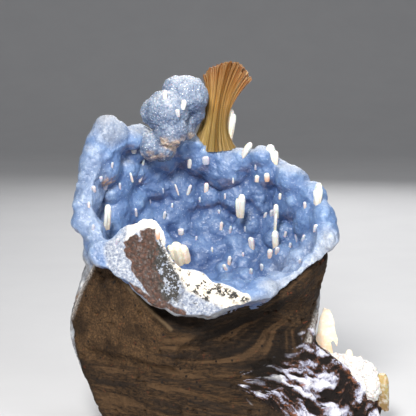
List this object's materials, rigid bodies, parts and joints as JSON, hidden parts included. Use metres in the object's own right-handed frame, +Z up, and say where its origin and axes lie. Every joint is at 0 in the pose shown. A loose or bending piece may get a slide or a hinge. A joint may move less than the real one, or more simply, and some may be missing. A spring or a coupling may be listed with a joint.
{
  "type": "mineral specimen",
  "caption": "Cabinet mineral specimen: blue botryoidal chalcedony bowl on basalt, with a golden stilbite sheaf and white heulandite crystals.",
  "frame": {"origin": "on the flat base, under the middle of the specimen", "axes": "+Z up; the bowl-shaped hollow opens towards -Y and up; +X is the right-hand side as seen from the front"},
  "size_m": [0.1149, 0.0714, 0.1314],
  "materials": {
    "basalt": "rough broken basalt",
    "blue_chalcedony": "fine sparkling druse",
    "stilbite": "silky golden brown",
    "heulandite": "pearly white",
    "cream_crystal": "dull cream",
    "white_druse": "sugary white"
  },
  "bodies": {
    "root": {"basalt_matrix": "basalt", "chalcedony_crust": "blue_chalcedony", "chalcedony_knob": "blue_chalcedony", "stilbite_sheaf": "stilbite", "heulandite_by_sheaf": "heulandite", "heulandite_ridge_left": "heulandite", "heulandite_ridge_right": "heulandite", "heulandite_right_rim": "heulandite", "heulandite_middle": "heulandite", "heulandite_pair": "heulandite", "heulandite_left": "heulandite", "heulandite_behind_lip": "cream_crystal", "ledge_tablet": "cream_crystal", "ledge_crystal": "cream_crystal", "ledge_cone": "cream_crystal", "ledge_druse": "white_druse"}
  },
  "joints": []
}
